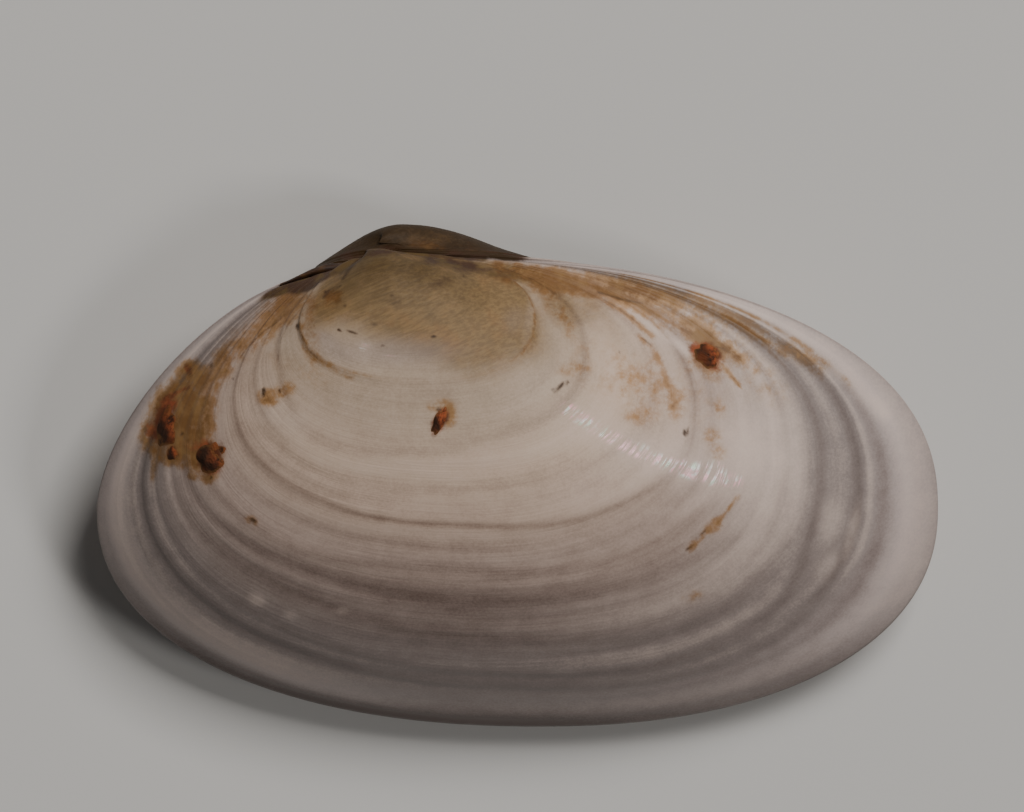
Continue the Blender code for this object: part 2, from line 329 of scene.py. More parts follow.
def dip(x):
    """Depth at x of the notch and the lunule, each a bell shape."""
    depth = 0
    for place, half_width, deep in (NOTCH, LUNULE):
        depth = depth + deep * np.exp(-(((x - place) / half_width) ** 2))
    return depth


def full_margin(per_quarter=2000):
    """Closed margin as x and y: quarters of superellipses, with the dips cut into the upper two."""
    up = (np.arange(per_quarter) + 0.5) / per_quarter * math.pi / 2
    parts = []
    for middle, reach, drop, power, angle in (
            (0, LONG_ARM, END_DROP, LONG_SHOULDER, up[::-1]),
            (BELLY_X, LONG_ARM - BELLY_X, -BELLY_DROP, LONG_BELLY, up),
            (BELLY_X, -SHORT_ARM - BELLY_X, -BELLY_DROP, SHORT_BELLY, up[::-1]),
            (0, -SHORT_ARM, END_DROP, SHORT_SHOULDER, up)):
        parts.append((middle + reach * np.cos(angle) ** (2 / power), drop * np.sin(angle) ** (2 / power)))
    x, y = np.concatenate(parts, axis=1)
    y = y - END_DROP
    return x, np.where(y > -END_DROP, y - dip(x), y)


def walked_margin():
    """The margin with the share of the walk round it, which goes slower near the beaks."""
    x, y = full_margin()
    step = np.hypot(np.diff(x, append=x[0]), np.diff(y, append=y[0]))
    near = np.exp(-(x * x + y * y) / (0.12 * LENGTH) ** 2)
    walked = np.concatenate([[0.0], np.cumsum(step * (1 + FINE_NEAR_BEAK * near))])
    return walked / walked[-1], np.append(x, x[0]), np.append(y, y[0])


WALK, WALK_X, WALK_Y = walked_margin()


def margin_at(around):
    """The margin's x and y at a share of the walk round it."""
    share = np.mod(around, 1)
    return np.interp(share, WALK, WALK_X), np.interp(share, WALK, WALK_Y)


def growth_point(stage, around):
    """The margin shrunk to a stage and turned about the hinge: the bare growth surface."""
    x, y = margin_at(around)
    turn = TURN_RATE * np.log((1 + TURN_START) / (stage + TURN_START)) + RIM_TURN * (1 - stage ** RIM_POWER)
    return np.stack(np.broadcast_arrays(
        stage * x - BEAK_LEAN * (1 - stage) ** 8 + UMBO_SET * stage * (1 - stage) ** 12,
        stage * y * np.cos(turn) + BEAK_RISE * (1 - stage) ** 5,
        SEAM / 2 - stage * y * np.sin(turn) + BEAK_STAND * (1 - stage) ** 3), axis=-1)


def growth_normal(stage, around):
    """Outward normal: the cross product of the steps round the margin and away from the beak."""
    h = 1e-4
    k = 1.2e-3
    along = growth_point(stage, around + k) - growth_point(stage, around - k)
    away = growth_point(stage + h, around) - growth_point(stage - h, around)
    normal = np.cross(along, away)
    return normal / np.maximum(np.linalg.norm(normal, axis=-1, keepdims=True), 1e-15)


def direction(around):
    """Degrees round the beaks from the long end of the hinge line, through the belly."""
    x, y = margin_at(around)
    return np.degrees(np.arctan2(-y, x))


def told_at_rays(degrees, values):
    """A value told at each ray, eased between rays and held past the outer two."""
    told = np.full_like(degrees, values[0])
    for low, high, a, b in zip(RAYS, RAYS[1:], values, values[1:]):
        told = told + (b - a) * smooth((degrees - low) / (high - low))
    return told


def ripples(stage, around, seed, rings, spokes, count):
    """Soft random swell: a sum of cosine waves, rings across growth and spokes round it."""
    rng = np.random.default_rng(seed)
    total = 0
    for _ in range(count):
        ring = rng.uniform(0.4, 1) * rings
        spoke = round(rng.uniform(-1, 1) * spokes)
        total = total + np.cos(2 * math.pi * (ring * stage + spoke * around + rng.uniform()))
    return total / math.sqrt(count)


def band_shade(stage, around, side):
    """Sum of bell-shaped bands across growth: above 0 where darker, below 0 where lighter."""
    degrees = direction(around)
    wander = 0.004 * ripples(stage, around, 11 + side, 3, 5, 6)
    shade = 0
    for stages, depths, width, _ in BANDS:
        off = (1000 * (stage + wander) - told_at_rays(degrees, stages)) / width
        shade = shade + told_at_rays(degrees, depths) / 100 * np.exp(-off * off)
    folds = ripples(stage + 3 * wander, around, 51 + side, 26, 2, 9) * told_at_rays(degrees, FOLD_SHOWS)
    return shade + FOLD_DEPTH * folds * smooth((stage - 0.42) / 0.12) * (1 - smooth((stage - 0.86) / 0.06))


def ledge(off, lead):
    """Swells over the lead up to the line at 0, then steps down past it."""
    return smooth(1 + off / lead) * (1 - smooth(off / LEDGE_DROP))


def relief(stage, around, side):
    """Height over the growth surface: ledges, grooves in dark bands, and finer swells."""
    degrees = direction(around)
    wander = 0.004 * ripples(stage, around, 11 + side, 3, 5, 6)
    height = -BAND_GROOVE * band_shade(stage, around, side)
    for stages, _, _, tall in BANDS:
        if tall:
            off = stage + wander - told_at_rays(degrees, stages) / 1000
            height = height + MICRON * tall * ledge(off, LEDGE_LEAD)
    young = YOUNG_LEDGE * told_at_rays(degrees, YOUNG_SHOWS) * (1 if side > 0 else 0.3)
    height = height + young * ledge(stage - YOUNG_STAGE, YOUNG_LEAD)
    outside = smooth((stage - YOUNG_STAGE) / 0.05)
    fine = ripples(stage, around, 21 + side, 55, 3, 14) * (0.6 + 0.4 * ripples(stage, around, 31, 4, 6, 6))
    height = height + (RIPPLE + OUTER_RIPPLE * outside) * fine
    height = height + SWELL * ripples(stage, around, 41 + side, 6, 8, 10)
    return height * smooth((1 - stage) / 0.02) * smooth(stage / 0.05)


def on_side(points, stage, side):
    """The upper valve's points as they are, or mirrored, flattened and leaned as the lower's."""
    if side > 0:
        return points
    lean = LOWER_LEAN * (1 - stage ** 2)
    return np.stack([points[..., 0] + lean, points[..., 1], -LOWER_SWELL * points[..., 2]], axis=-1)


def valve_point(stage, around, side):
    """The finished outer surface in shell axes, on the upper (1) or lower (-1) valve."""
    point = growth_point(stage, around)
    point = point + growth_normal(stage, around) * relief(stage, around, side)[..., None]
    return on_side(point, stage, side)


def to_frame(points):
    """Shell axes to the frame: turned by the angles of rest, then moved to the beaks' place."""
    turn = Matrix.Rotation(REST_PITCH, 3, "X") @ Matrix.Rotation(REST_ROLL, 3, "Y")
    return points @ np.array(turn).T + BEAK_AT


def to_picture(points):
    """Pixel of the photograph at which a point in shell axes is seen."""
    u = BEAK_PIXEL[0] + points[..., 0] / PIXEL
    v = BEAK_PIXEL[1] - (points[..., 1] * math.cos(VIEW_TILT) - points[..., 2] * math.sin(VIEW_TILT)) / PIXEL
    return u, v


def spots(u, v, marks):
    """Soft union of oval spots: one less the product of one less each bell of the distance."""
    left = np.ones_like(u)
    for x, y, half_long, half_wide, strength, *degrees in marks:
        turn = math.radians(sum(degrees))
        c = math.cos(turn)
        s = math.sin(turn)
        along = ((u - x) * c - (v - y) * s) / half_long
        over = ((u - x) * s + (v - y) * c) / half_wide
        left = left * (1 - strength / 100 * np.exp(-(along * along + over * over) ** 1.4))
    return 1 - left


def stroke(u, v, path, width):
    """Bell of the distance to a path of straight runs, in pixels."""
    nearest = np.full_like(u, 1e9)
    for (x0, y0), (x1, y1) in zip(path, path[1:]):
        run = (x1 - x0) ** 2 + (y1 - y0) ** 2
        t = np.clip(((u - x0) * (x1 - x0) + (v - y0) * (y1 - y0)) / run, 0, 1)
        nearest = np.minimum(nearest, (u - x0 - t * (x1 - x0)) ** 2 + (v - y0 - t * (y1 - y0)) ** 2)
    return np.exp(-nearest / (width * width))


def closed_rings(rings, last_tip=None, start=0):
    """Points and faces of stacked rings: quads between them, and a fan to a tip at each end."""
    count, columns = rings.shape[:2]
    tips = [rings[0].mean(axis=0), rings[-1].mean(axis=0) if last_tip is None else last_tip]
    ring = np.arange(count - 1)[:, None] * columns + start
    here = np.arange(columns)[None, :]
    after = (here + 1) % columns
    quads = np.stack([ring + here, ring + after, ring + columns + after, ring + columns + here], axis=-1)
    faces = quads.reshape(-1, 4).tolist()
    for first, tip in ((start, 0), (start + (count - 1) * columns, 1)):
        corner = np.full(columns, start + count * columns + tip)
        faces += np.stack([first + here[0], first + after[0], corner], axis=-1).tolist()
    return np.concatenate([rings.reshape(-1, 3), tips]), faces


def outward(points, faces):
    """True if a closed surface's triangles and quads point out: they span a volume above 0."""
    volume = 0
    for size in (3, 4):
        a, *others = points[[face for face in faces if len(face) == size]].transpose(1, 0, 2)
        for b, c in zip(others, others[1:]):
            volume += np.sum(a * np.cross(b, c))
    return volume > 0


def put(name, data):
    """A new object in the scene, at the origin."""
    made = bpy.data.objects.new(name, data)
    bpy.context.scene.collection.objects.link(made)
    return made


def add_piece(name, points, faces, attributes, look, replaces=None):
    """Makes a closed, smooth piece at the origin that rides on the shell's one body."""
    if not outward(points - points.mean(axis=0), faces):
        faces = [face[::-1] for face in faces]
    mesh = bpy.data.meshes.new(name)
    mesh.from_pydata(points.tolist(), [], faces)
    for label, values in attributes.items():
        mesh.attributes.new(label, "FLOAT", "POINT").data.foreach_set("value", values.astype(np.float32))
    mesh.materials.append(look)
    mesh.shade_smooth()
    mesh.update()
    piece = put(name, mesh)
    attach(piece, "root")
    if replaces:
        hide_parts(replaces)


def all_strokes(u, v, lines):
    """Highest of several strokes, each scaled by its strength."""
    found = np.zeros_like(u)
    for path, width, strength in lines:
        found = np.maximum(found, strength / 100 * stroke(u, v, path, width))
    return found


def valve_marks(stage, around, points, side):
    """The marks on a valve as named values from 0 to 1 at each point."""
    u, v = to_picture(points)
    view = np.array((0, math.sin(VIEW_TILT), math.cos(VIEW_TILT) * side))
    shown = smooth((growth_normal(stage, around) @ view) / 0.15)
    degrees = direction(around)
    umbo_end = told_at_rays(degrees, UMBO_ENDS if side > 0 else FAR_UMBO_ENDS)
    near, fade = (0.00025, 0.00035) if side > 0 else (0.00012, 0.00024)
    close = 1 - smooth((np.abs(points[..., 2]) - near) / fade)
    soft_edge = 0.12 if side > 0 else 0.24
    edge = np.exp(-(((stage - YOUNG_STAGE - 0.003) / 0.0045) ** 2)) * told_at_rays(degrees, YOUNG_SHOWS)
    near_hinge = np.maximum(1 - smooth((degrees - 4) / 18), smooth((degrees - 150) / 14))
    shade = band_shade(stage, around, side)
    stained = np.clip(3 * np.clip(shade, 0, 1) * near_hinge * smooth((stage - 0.3) / 0.1), 0, 0.5)
    marks = {
        "stage": stage,
        "shade": shade,
        "umbo": 1 - smooth((stage - umbo_end + 0.07) / soft_edge),
        "ochre": np.maximum(stained, 0.3 * edge),
        "dark": 0.22 * edge,
        # Brown along the hinge near the meeting plane: partly stain, partly painted shade in the crease
        "brown": close * np.maximum(spots(u, v, BROWN_AND_SHADE_SPOTS), 0.8 * stroke(u, v, HINGE_CREASE_SHADE, 5)),
    }
    if side > 0:
        marks["umbo"] = np.maximum(marks["umbo"], shown * spots(u, v, NEAR_UMBO))
        soft = np.maximum(marks["ochre"], shown * spots(u, v, OCHRE_SPOTS))
        marks["ochre"] = 1 - (1 - soft) * (1 - shown * all_strokes(u, v, OCHRE_LINES))
        marks["rust"] = shown * spots(u, v, RUST_SPOTS)
        # Dark specks and lines, with painted shade under the umbo's edge
        dark = np.maximum(spots(u, v, DARK_SPOTS), all_strokes(u, v, DARK_LINES))
        marks["dark"] = np.maximum(marks["dark"], shown * dark)
        # Chalky white, with painted sheen round the glint streak
        marks["white"] = shown * np.maximum(spots(u, v, WHITE_AND_SHEEN_SPOTS), all_strokes(u, v, WHITE_LINES))
        marks["lilac"] = shown * spots(u, v, LILAC_SPOTS)
        # Painted highlight: the glint streak and single glints
        marks["glint_streak"] = shown * np.maximum(stroke(u, v, HIGHLIGHT_STREAK, STREAK_WIDTH), spots(u, v, GLINTS))
    else:
        marks["ochre"] = np.maximum(marks["ochre"], shown * spots(u, v, FAR_OCHRE))
        # Dark on the lower valve, with painted shadow in the gap between the beaks
        marks["dark"] = np.maximum(marks["dark"], shown * spots(u, v, FAR_DARK_AND_SHADOW))
        marks.update({label: np.zeros_like(u) for label in ("rust", "white", "lilac", "glint_streak")})
    return marks


def make_valve(side, name, look, node):
    """A valve: outer surface, rounded lip, flat rim on the meeting plane and lining."""
    tip_stages = np.geomspace(FIRST_STAGE, BEAK_END, BEAK_ROWS, endpoint=False)
    stage = np.concatenate([tip_stages, np.linspace(BEAK_END, 1, ROWS)])[:, None]
    around = (np.arange(COLUMNS) / COLUMNS)[None, :]
    outer = valve_point(stage, around, side)
    centre = np.array((*CAVITY_CENTRE, SEAM / 2))
    rim = growth_point(np.ones((1, 1)), around)[0]
    lip_turn = (np.arange(1, LIP_STEPS + 1) / LIP_STEPS * math.pi / 2)[:, None, None]
    inward = centre - rim
    inward = inward / np.linalg.norm(inward, axis=-1, keepdims=True)
    lip = rim + inward * LIP * (1 - np.cos(lip_turn)) - np.array((0, 0, LIP * 0.5)) * np.sin(lip_turn)
    lining_stages = np.array((1, *LINING_STAGES))[:, None]
    bare = growth_point(lining_stages, around)
    lining = centre + (bare - centre) * (CAVITY_SPREAD, CAVITY_SPREAD, CAVITY_RISE)
    hidden = np.concatenate([on_side(lip, np.ones((1, 1)), side), on_side(lining, lining_stages, side)])
    points, faces = closed_rings(np.concatenate([outer, hidden]))
    attributes = {}
    for label, values in valve_marks(stage, around, outer, side).items():
        values = np.broadcast_to(values, outer.shape[:2])
        last = np.tile(values[-1], len(hidden))
        attributes[label] = np.concatenate([values.ravel(), last, values[0, :1], values[-1, :1]])
    points = to_frame(points)
    if side < 0:
        points[:, 2] = np.maximum(points[:, 2], 0)
    add_piece(name, points, faces, attributes, look, node)


# Shader helpers

class Nodes:
    """Adds nodes to one shader tree. Every input is a socket, a number, a vector or a colour."""

    def __init__(self, tree):
        self.tree = tree

    def fill(self, made, inputs):
        """Gives a node its inputs, by name or number, and returns it."""
        for label, value in inputs.items():
            if isinstance(value, bpy.types.NodeSocket):
                self.tree.links.new(value, made.inputs[label])
            else:
                made.inputs[label].default_value = value
        return made

    def new(self, kind, inputs=None, **settings):
        """A node of a kind with its settings and inputs."""
        made = self.tree.nodes.new("ShaderNode" + kind)
        for label, value in settings.items():
            setattr(made, label, value)
        return self.fill(made, inputs or {})

    def math(self, operation, a, b, c=0, clamp=False):
        """A Math node's result."""
        return self.new("Math", {0: a, 1: b, 2: c}, operation=operation, use_clamp=clamp).outputs[0]

    def times(self, a, b, plus=0):
        """a times b, plus a third value."""
        return self.math("MULTIPLY_ADD", a, b, plus)

    def mix(self, amount, under, over, kind="MIX"):
        """A colour laid over another by an amount held from 0 to 1."""
        inputs = {"Factor": amount, 6: under, 7: over}
        return self.new("Mix", inputs, data_type="RGBA", blend_type=kind, clamp_factor=True).outputs[2]

    def noise(self, vector, scale, detail=3, roughness=0.55):
        """Soft noise round 0.5."""
        inputs = {"Vector": vector, "Scale": scale, "Detail": detail, "Roughness": roughness}
        return self.new("TexNoise", inputs).outputs["Fac"]

    def ramp(self, value, low, high, to_low=0, to_high=1):
        """Maps a value from low..high to to_low..to_high, smoothly and held at both ends."""
        inputs = {"Value": value, "From Min": low, "From Max": high, "To Min": to_low, "To Max": to_high}
        return self.new("MapRange", inputs, interpolation_type="SMOOTHSTEP").outputs["Result"]

    def colour_ramp(self, value, stops, interpolation="LINEAR"):
        """Colour along a value, from stops that each have a place and a colour."""
        made = self.new("ValToRGB", {"Fac": value})
        made.color_ramp.interpolation = interpolation
        elements = made.color_ramp.elements
        for i, (position, colour) in enumerate(stops):
            stop = elements[i] if i < 2 else elements.new(position)
            stop.position = position
            stop.color = colour
        return made.outputs["Color"]

    def mark(self, name):
        """A mark that the mesh carries at each point."""
        return self.new("Attribute", attribute_name=name).outputs["Fac"]

    def mapped(self, vector, scale, turn=0, kind="POINT"):
        """A pattern's coordinates stretched, and turned about Z."""
        inputs = {"Vector": vector, "Rotation": (0, 0, turn), "Scale": scale}
        return self.new("Mapping", inputs, vector_type=kind).outputs[0]

    def group(self, group, **inputs):
        """A shared group's outputs, for values of this place's own."""
        return self.new("Group", inputs, node_tree=group).outputs

    def bump(self, height, strength, distance):
        """A normal tilted by a height."""
        inputs = {"Height": height, "Strength": strength, "Distance": distance}
        return self.new("Bump", inputs).outputs["Normal"]


def new_group(name, inputs, outputs):
    """An empty shader group of float sockets and a Vector, its helper, inputs and output node."""
    group = bpy.data.node_groups.new(name, "ShaderNodeTree")
    for way, labels in (("INPUT", inputs), ("OUTPUT", outputs)):
        for label in labels:
            kind = "NodeSocketVector" if label == "Vector" else "NodeSocketFloat"
            group.interface.new_socket(name=label, in_out=way, socket_type=kind)
    return group, Nodes(group), group.nodes.new("NodeGroupInput").outputs, group.nodes.new("NodeGroupOutput")


def growth_lines_group():
    """Growth lines: noise that runs fast across growth and slowly round the shell."""
    group, add, given, result = new_group(
        "growth_lines", ("Vector", "Stage", "Lines", "Stretch"), ("Lines", "Bands"))
    drift = add.noise(given["Vector"], 700, 2)
    across = add.times(add.times(drift, 0.012, given["Stage"]), given["Lines"])
    scaled = add.new("VectorMath", {0: given["Vector"], "Scale": given["Stretch"]}, operation="SCALE")
    parts = add.new("SeparateXYZ", {0: scaled.outputs[0]}).outputs
    fine = add.new("CombineXYZ", {"X": parts["X"], "Y": parts["Y"], "Z": across}).outputs[0]
    broad = add.new("VectorMath", {0: fine, 1: (1, 1, 0.22)}, operation="MULTIPLY").outputs[0]
    add.fill(result, {"Lines": add.noise(fine, 1, 4, 0.65), "Bands": add.noise(broad, 1, 2, 0.5)})
    return group


def ragged_stain_group():
    """A stain's edge broken up: noise added to its mask, but only where the mask is above 0."""
    group, add, given, result = new_group(
        "ragged_stain", ("Vector", "Mask", "Grain", "Raggedness"), ("Mask",))
    centred = add.math("SUBTRACT", add.noise(given["Vector"], given["Grain"], 5, 0.65), 0.5)
    shown = add.times(add.ramp(given["Mask"], 0.02, 0.25), add.times(centred, given["Raggedness"]))
    add.fill(result, {"Mask": add.math("ADD", given["Mask"], shown, clamp=True)})
    return group


GROUPS = {"growth_lines": growth_lines_group, "ragged_stain": ragged_stain_group}


def shared_group(name):
    """A node group that several materials share, made once."""
    return bpy.data.node_groups.get(name) or GROUPS[name]()


def new_material(name):
    """A material, the helper that adds its nodes, its shader and its Object coordinates."""
    made = bpy.data.materials.new(name)
    made.use_nodes = True
    add = Nodes(made.node_tree)
    return made, add, made.node_tree.nodes["Principled BSDF"], add.new("TexCoord").outputs["Object"]


def shell_material(name, hues, umbo_hue, stained):
    """Chalky shell: ground and growth bands, a tan umbo darkened in part as painted shade, stains, and a
    streak of painted highlight glints.
    """
    made, add, surface, place = new_material(name)

    def growth(lines, stretch):
        group = shared_group("growth_lines")
        return add.group(group, Vector=place, Stage=stage, Lines=lines, Stretch=stretch)

    def stain(name, grain, raggedness, patchy=1):
        group = shared_group("ragged_stain")
        mask = add.times(add.mark(name), patchy)
        return add.group(group, Vector=place, Mask=mask, Grain=grain, Raggedness=raggedness)["Mask"]

    stage = add.mark("stage")
    lines = growth(150, 700)
    mottle = add.noise(place, 5200, 4, 0.6)
    grain = add.noise(place, 40000, 3, 0.7)
    wrinkles = add.noise(add.mapped(place, (9, 1, 1), WRINKLE_TURN, "TEXTURE"), 34000, 3, 0.6)
    ground = []
    for position, first, second, share in GROUND:
        ground.append((position, [a + (b - a) * share for a, b in zip(hues[first], hues[second])]))
    base = add.colour_ramp(stage, ground, "EASE")

    # The umbo's tan; on the lower valve darkened as painted shade, on the upper darkened in part as painted
    # shade
    umbo = stain("umbo", 3000, 0.5)
    tint = umbo_hue
    if stained:
        tint = add.mix(add.ramp(add.noise(place, 2400, 4, 0.6), 0.42, 0.62), tint, hues["olive"])
        paler = add.times(add.math("SUBTRACT", mottle, 0.5), 0.1, stage)
        tint = add.mix(add.ramp(paler, 0.06, 0.22, 0, 0.95), tint, hues["pale_tan"])
    warm = add.ramp(add.noise(place, 2600, 3, 0.6), 0.48, 0.66, 0, 0.6 if stained else 0.15)
    tint = add.mix(warm, tint, hues["ochre_light"])
    tint = add.mix(add.ramp(wrinkles, 0.35, 0.65, 0.38, 0), tint, hues["band"], "MULTIPLY")
    base = add.mix(add.ramp(umbo, 0.05, 0.9, 0, 0.98), base, tint)
    base = add.mix(add.times(add.mark("lilac"), 0.7), base, hues["lilac"])

    shell_part = add.times(umbo, -0.8, 1)
    outside = add.times(shell_part, add.ramp(stage, 0.8, 0.93, 1, 0.25))
    fine = add.ramp(lines["Lines"], 0.3, 0.7, 0.022, -0.022)
    wide = add.ramp(lines["Bands"], 0.3, 0.7, 0.026, -0.026)
    shade = add.times(add.mark("shade"), 1.05, add.times(add.math("ADD", fine, wide), outside))
    dots = add.times(add.ramp(mottle, 0.3, 0.7, 0.035, -0.035), 1, add.ramp(grain, 0.3, 0.7, 0.045, -0.045))
    shade = add.times(dots, add.times(umbo, -0.4, 1), shade)
    # Growth bands darken or lighten the colour, among them painted shade at the belly and painted light at
    # the long end
    base = add.mix(add.times(add.math("MAXIMUM", shade, 0), 2.4), base, hues["band"], "MULTIPLY")
    lighter = add.times(add.math("MINIMUM", shade, 0), -1.8)
    base = add.mix(add.times(lighter, shell_part), base, hues["white"])
    # Chalky white spots, with painted sheen round the glint streak
    base = add.mix(add.times(stain("white", 5000, 0.5), 0.8), base, hues["white"])

    rough = add.times(mottle, 0.16, 0.42)
    patchy = add.ramp(add.noise(place, 3600, 4, 0.65), 0.32, 0.62, 0.55, 1.15)
    ochre = stain("ochre", 11000, 1.1, patchy)
    base = add.mix(add.ramp(ochre, 0, 0.5, 0, 0.95), base, hues["wash"], "MULTIPLY")
    tint = add.mix(add.ramp(mottle, 0.4, 0.65), hues["ochre"], hues["ochre_light"])
    solid = add.ramp(ochre, 0.42, 0.8, 0, 0.97) if stained else add.ramp(ochre, 0.15, 0.9, 0, 0.5)
    base = add.mix(solid, base, tint)
    # Brown about the hinge: partly stain, partly painted shade in the crease
    brown = add.ramp(stain("brown", 9000, 0.6), 0.1, 0.6, 0, 0.97)
    base = add.mix(brown, base, add.mix(add.ramp(mottle, 0.4, 0.6), hues["horn"], umbo_hue))
    if stained:
        rust = add.ramp(stain("rust", 12000, 1.1), 0.25, 0.85, 0, 0.97)
        tint = add.mix(add.ramp(mottle, 0.44, 0.66, 0, 0.8), hues["rust"], hues["orange"])
        base = add.mix(rust, base, tint)
        rough = add.times(rust, 0.3, rough)
    # Dark specks and lines, with painted shade under the umbo's edge and painted shadow between the beaks
    dark = add.ramp(stain("dark", 16000, 0.7), 0.15, 0.8, 0, 0.96)
    base = add.mix(dark, base, hues["dirt"])

    # Painted highlight: green, white and pink glint dashes along the streak, with a little coat
    if stained:
        dashes = add.ramp(growth(250, 2600)["Lines"], 0.47, 0.57)
        clusters = add.ramp(add.noise(place, 7000, 2), 0.36, 0.6, 0.25, 1)
        glint = add.times(add.ramp(add.mark("glint_streak"), 0.15, 0.9), add.times(dashes, clusters))
        stops = ((0.38, "green_glint"), (0.46, "white_glint"), (0.54, "pink_glint"))
        glint_streak = add.colour_ramp(add.noise(place, 9000), [(at, hues[label]) for at, label in stops])
        base = add.mix(glint, base, glint_streak)
        rough = add.times(glint, -0.25, rough)
        add.fill(surface, {"Coat Weight": add.times(glint, 0.6)})
    height = add.times(add.ramp(lines["Lines"], 0.3, 0.7, 0, 0.34), outside)
    height = add.times(add.times(wrinkles, umbo), 1.5, height)
    height = add.times(add.times(lines["Bands"], outside), 1.6, height)
    add.fill(surface, {
        "Base Color": base, "Roughness": add.times(umbo, 0.15, rough), "Coat Roughness": 0.22,
        "Specular IOR Level": 0.36 if stained else 0.22,
        "Normal": add.bump(add.times(mottle, 0.5, height), 0.35, 0.000012)})
    return made


def ligament_material(hues):
    """Dry horny band: brown with darker lengthwise fibres."""
    made, add, surface, place = new_material("ligament_brown")
    fibres = add.noise(add.mapped(place, (0.12, 1, 1)), 60000, 4, 0.6)
    base = add.mix(add.ramp(fibres, 0.35, 0.65), hues["horn_dark"], hues["horn"])
    base = add.mix(add.ramp(add.noise(place, 6000), 0.5, 0.75, 0, 0.5), base, hues["ochre"])
    add.fill(surface, {
        "Base Color": base, "Roughness": add.times(fibres, 0.25, 0.45),
        "Normal": add.bump(fibres, 0.5, 0.000006)})
    return made


def rust_material(hues):
    """Crumbly iron rust: near black to red-brown, with orange grains on the lit right side as painted light,
    thinning to ochre.
    """
    made, add, surface, place = new_material("rust_crust")
    grains = add.noise(place, 16000, 6, 0.7)
    base = add.mix(add.ramp(add.noise(place, 7000), 0.45, 0.68), hues["rust_dark"], hues["rust"])
    # Painted light: orange grains gathered on the lit right side of each lump
    lit_glow = add.times(add.ramp(grains, 0.36, 0.62), add.mark("lit_side"))
    base = add.mix(add.times(lit_glow, 0.92), base, hues["orange"])
    thin = add.times(add.math("SUBTRACT", grains, 0.5), 1.2, add.mark("rim"))
    base = add.mix(add.ramp(thin, 0.45, 1.15, 0, 0.5), base, hues["ochre"])
    add.fill(surface, {
        "Base Color": base, "Roughness": 0.85, "Specular IOR Level": 0.25,
        "Normal": add.bump(grains, 0.4, 0.0000025)})
    return made


# Pieces

def margin_height(x):
    """Height of the short end's upper margin at x."""
    reach = 1 - np.clip(-x / SHORT_ARM, 0, 1) ** SHORT_SHOULDER
    return END_DROP * (reach ** (1 / SHORT_SHOULDER) - 1) - dip(x)


def make_ligament(look):
    """The brown band: wedge-shaped sections that swell along the notch, with fine fibres."""
    stations, sides = 120, 48
    share = np.linspace(0, 1, stations)[:, None]
    angle = (np.arange(sides) / sides * 2 * math.pi)[None, :]
    x = LIGAMENT_FROM + LIGAMENT_RUN * share
    size = (0.22 + 0.78 * smooth(share * 1.1)) * np.sqrt(1 - np.clip((share - 0.8) / 0.2, 0, 0.999) ** 2)
    size = size * (1 + 0.06 * ripples(share, angle / (2 * math.pi), 61, 4, 3, 8))
    fibre = 1 + 0.07 * np.cos(11 * angle + 3 * share) * np.sin(angle * 0.5) ** 2
    centre_y = margin_height(x) + LIGAMENT_LIFT * (0.05 + 0.95 * smooth(share * 1.4))
    rise = LIGAMENT_TALL * size * np.sin(angle) * fibre
    width = LIGAMENT_THICK * size * np.cos(angle) * (0.62 + 0.38 * np.sin(angle)) * fibre
    rings = np.stack(np.broadcast_arrays(x, centre_y + rise, width), axis=-1)
    points, faces = closed_rings(rings)
    add_piece("ligament_band", to_frame(points), faces, {}, look, "ligament")


def place_of_pixel(x, y):
    """The stage and share round the margin that the photograph shows at a pixel."""
    stage = np.linspace(0.06, 0.99, 300)[:, None]
    around = (np.arange(720) / 720)[None, :]
    u, v = to_picture(growth_point(stage, around))
    near = np.unravel_index(np.argmin((u - x) ** 2 + (v - y) ** 2), u.shape)
    return float(stage[near[0], 0]), float(around[0, near[1]])


def crust_patch(x, y, half_long, half_wide, degrees, tall, reach, seed):
    """A lump on the valve: a round patch of the surface raised by a domed, grainy height."""
    stage, around = place_of_pixel(x, y)
    step = 1e-3
    steps = step * np.eye(3)
    u, v = to_picture(growth_point(stage + steps[1], around + steps[2]))
    to_place = np.linalg.inv(np.array([u[1:] - u[0], v[1:] - v[0]]) / step)
    share = np.linspace(0.03, 1, 48)[:, None]
    angle = (np.arange(120) / 120 * 2 * math.pi)[None, :]
    rng = np.random.default_rng(seed)
    edge = 1
    for wave in (2, 3, 4, 5, 7):
        deep = rng.uniform(0.04, 0.11) / math.sqrt(wave / 2)
        edge = edge + deep * np.cos(wave * angle + rng.uniform(0, 6.28))
    along = half_long * share * edge * np.cos(angle)
    over = half_wide * share * edge * np.sin(angle)
    c = math.cos(math.radians(degrees))
    s = math.sin(math.radians(degrees))
    du = along * c + over * s
    dv = -along * s + over * c
    stages = stage + to_place[0, 0] * du + to_place[0, 1] * dv
    arounds = around + to_place[1, 0] * du + to_place[1, 1] * dv
    grain = 0
    for scale, weight in ((0.25, 0.55), (0.6, 0.28), (1.3, 0.1)):
        for _ in range(6):
            fx, fy = rng.normal(0, scale, 2)
            grain = grain + weight * np.cos(fx * du + fy * dv + rng.uniform(0, 6.28)) / 2.4
    tall = MICRON * tall
    height = tall * ((1 - share ** 2) * (1.15 + 0.55 * grain) - 0.22 + 0.1 * grain)
    base = valve_point(stages, arounds, 1)
    normal = growth_normal(stages, arounds)
    height = np.where(share > 0.97, np.minimum(height, -0.1 * tall), height)
    top = base + normal * height[..., None]
    under = base[-1] - normal[-1] * (0.3 * tall + 0.00001)
    # Painted light: how lit each point is, rising towards the right side of the lump
    lit_side = smooth((du - 0.3 * dv) / half_wide * 1.3 + reach)
    rim = 1 - smooth(height / (0.75 * tall))
    return top, under, np.broadcast_to(lit_side, height.shape), rim


